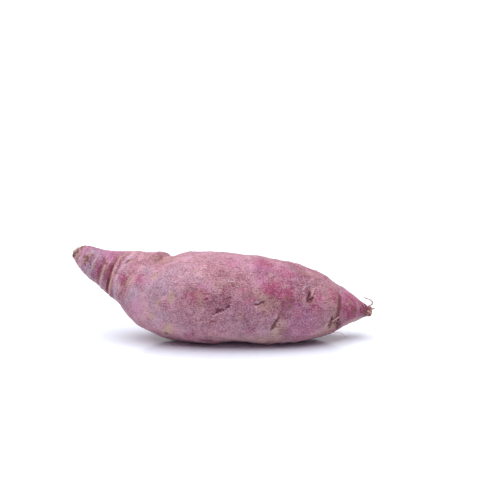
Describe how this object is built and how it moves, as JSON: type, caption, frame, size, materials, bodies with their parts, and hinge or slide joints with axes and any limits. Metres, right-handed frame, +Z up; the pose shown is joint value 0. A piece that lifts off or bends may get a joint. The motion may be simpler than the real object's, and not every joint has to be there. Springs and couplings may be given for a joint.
{
  "type": "purple sweet potato",
  "caption": "Whole spindle-shaped purple sweet potato lying on its belly, with a raised furrowed neck at one end and a thin tapered tail at the other.",
  "frame": {"origin": "middle of the underside of the bounding box, on the surface that the root lies on", "axes": "+X along the root from the raised stem end to the tail, +Y away from the fuller near flank, +Z up"},
  "size_m": [0.1944, 0.0614, 0.0591],
  "materials": {
    "skin": "matte dusty corky root skin, mauve to purple-pink with tan flecks"
  },
  "bodies": {
    "root": {"sweet_potato": "skin"}
  },
  "joints": []
}
